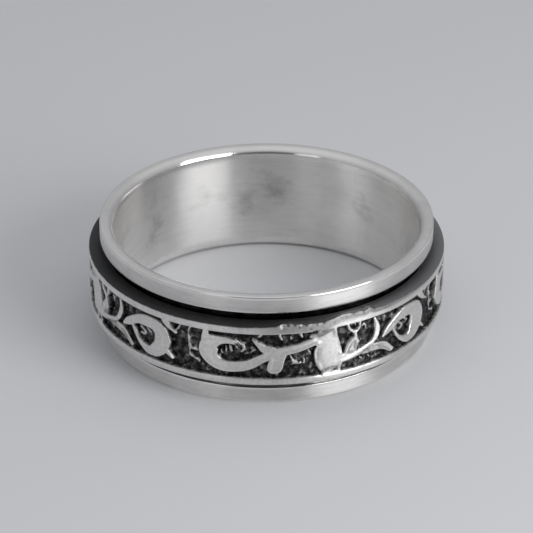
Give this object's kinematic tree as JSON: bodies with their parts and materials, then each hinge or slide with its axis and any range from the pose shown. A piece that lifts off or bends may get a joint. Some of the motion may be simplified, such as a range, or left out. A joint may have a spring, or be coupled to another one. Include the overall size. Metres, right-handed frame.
{
  "type": "thumb ring",
  "caption": "Silver thumb ring with a wide spinner band that turns between two plain rims and carries a raised scrolling vine on a dark ground.",
  "frame": {"origin": "middle of the lower end face, on the ring's axis, where the ring lies on its side", "axes": "+Z along the ring's axis, up through the finger hole; -Y towards the side that the picture shows nearest; +X to the right of a viewer who looks along +Y"},
  "size_m": [0.0244, 0.0244, 0.008],
  "materials": {
    "polished_silver": "polished",
    "oxidised_silver": "polished relief on a blackened ground"
  },
  "bodies": {
    "base": {"base_band": "polished_silver"},
    "spinner": {"spinner_band": "oxidised_silver"}
  },
  "joints": [
    {"name": "spin", "type": "hinge", "parent": "base", "child": "spinner", "pos_m": [0, 0, 0.004], "axis": [0, 0, 1], "continuous": true}
  ]
}
